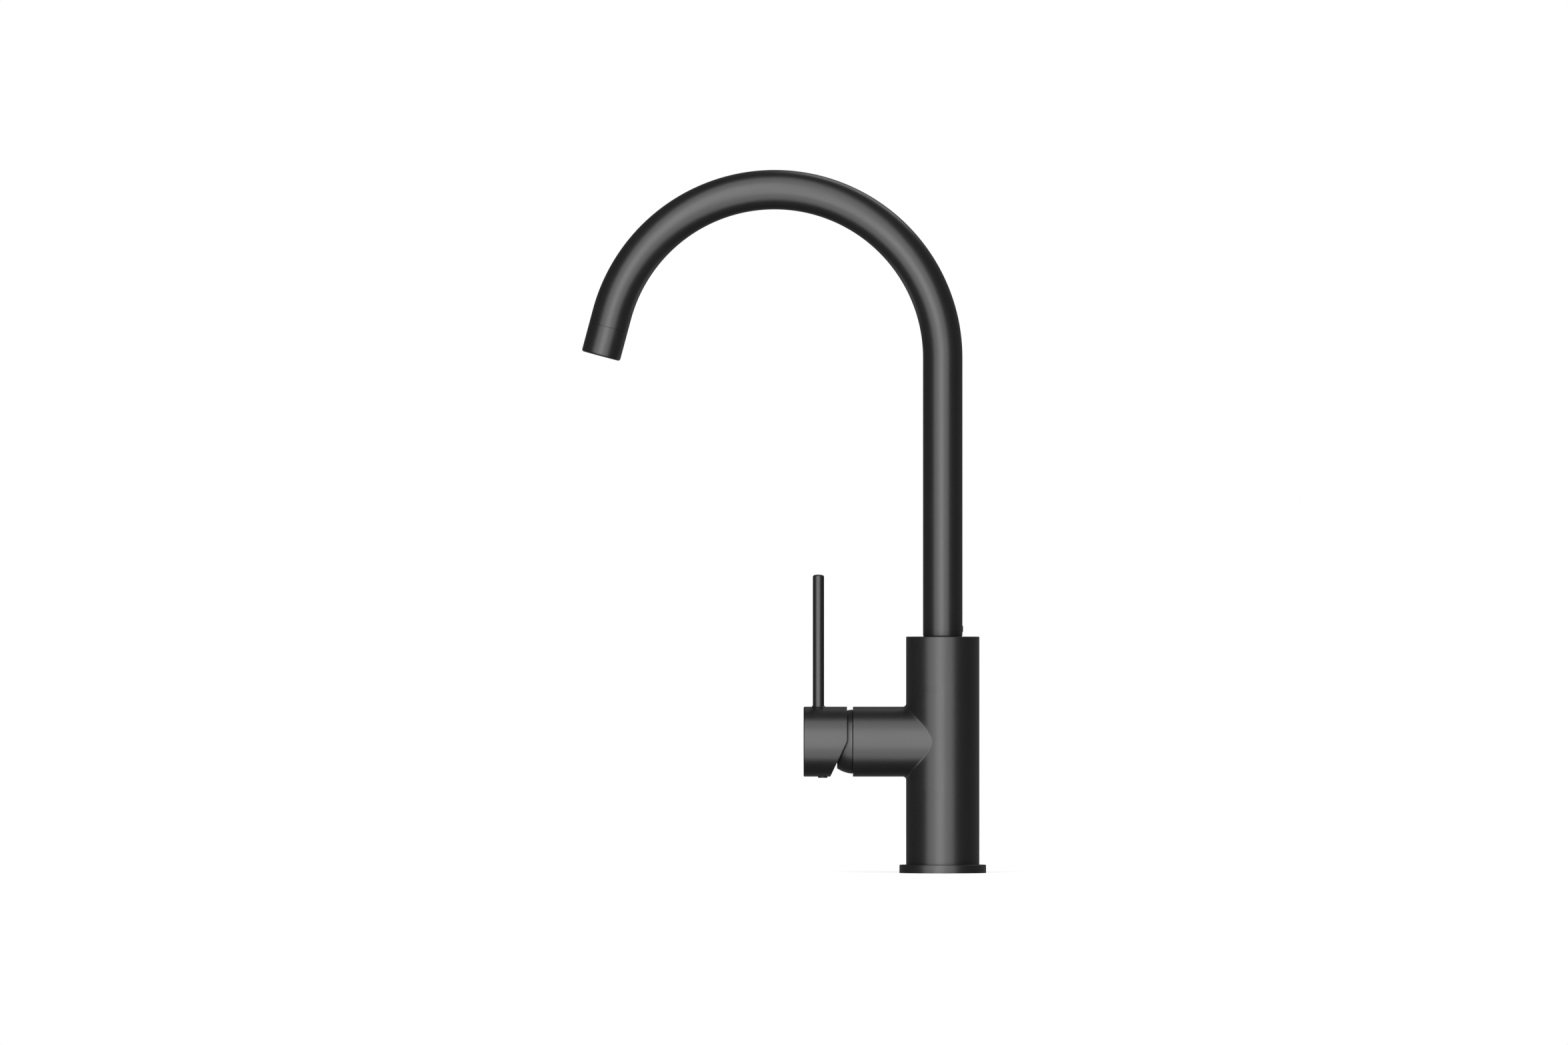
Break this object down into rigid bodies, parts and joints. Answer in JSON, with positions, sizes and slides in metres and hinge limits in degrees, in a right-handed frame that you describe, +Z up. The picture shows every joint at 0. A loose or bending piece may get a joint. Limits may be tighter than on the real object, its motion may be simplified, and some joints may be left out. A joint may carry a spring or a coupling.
{
  "type": "gooseneck sink mixer",
  "caption": "Matte black single-lever sink mixer with a round column, a swivelling gooseneck spout and a side hub with an upright pin lever.",
  "frame": {"origin": "on the column's axis, at the deck face under the base ring", "axes": "+Z up along the column, -X towards the spout's outlet and the handle"},
  "size_m": [0.2546, 0.0546, 0.4431],
  "materials": {
    "matte_black_coat": "satin matte black powder coat on brass",
    "brass": "turned brass",
    "steel": "plain stainless steel",
    "black_steel": "blackened steel",
    "black_rubber": "moulded rubber",
    "black_plastic": "moulded plastic",
    "white_acetal": "moulded acetal",
    "grey_plastic": "moulded plastic",
    "white_ceramic": "lapped alumina"
  },
  "bodies": {
    "mixer_body": {"body": "matte_black_coat", "base_ring": "matte_black_coat", "deck_seal": "black_rubber", "nipple_seal": "black_rubber", "swivel_nipple": "brass", "swivel_o_rings": "black_rubber", "glide_rings": "white_acetal", "slip_washer": "black_plastic", "cartridge_base": "white_acetal", "base_port_seals": "black_rubber", "disc_port_seals": "black_rubber", "fixed_disc": "white_ceramic", "cartridge_housing": "white_acetal", "retaining_nut": "brass", "dome_cover": "matte_black_coat"},
    "spout": {"spout_tube": "matte_black_coat", "spout_sleeve": "brass", "spout_lock_screw": "black_steel", "outlet_nipple": "brass", "aerator_collar": "matte_black_coat", "aerator_washer": "black_rubber", "aerator_cage": "grey_plastic", "aerator_screen": "grey_plastic"},
    "cartridge_rotor": {"rotor": "white_acetal", "pivot_pin": "steel"},
    "handle": {"stem": "brass", "handle_hub": "matte_black_coat", "lever": "matte_black_coat", "hub_grub_screw": "steel", "hub_plug": "black_plastic"},
    "valve_disc": {"moving_disc": "white_ceramic", "disc_carrier": "white_acetal"}
  },
  "joints": [
    {"name": "spout_swivel", "type": "hinge", "parent": "mixer_body", "child": "spout", "pos_m": [0, 0, 0.149], "axis": [0, 0, 1], "continuous": true},
    {"name": "temperature_turn", "type": "hinge", "parent": "mixer_body", "child": "cartridge_rotor", "pos_m": [-0.0553, 0, 0.0828], "axis": [1, 0, 0], "range_deg": [-50, 50]},
    {"name": "flow_tilt", "type": "hinge", "parent": "cartridge_rotor", "child": "handle", "pos_m": [-0.0553, 0, 0.0828], "axis": [0, -1, 0], "range_deg": [0, 25]},
    {"name": "disc_slide", "type": "slide", "parent": "cartridge_rotor", "child": "valve_disc", "axis": [0, 0, 1], "range_m": [0, 0.0051]}
  ],
  "couplings": [
    {"joint": "disc_slide", "follows": "flow_tilt", "m_per_rad": 0.011623}
  ]
}
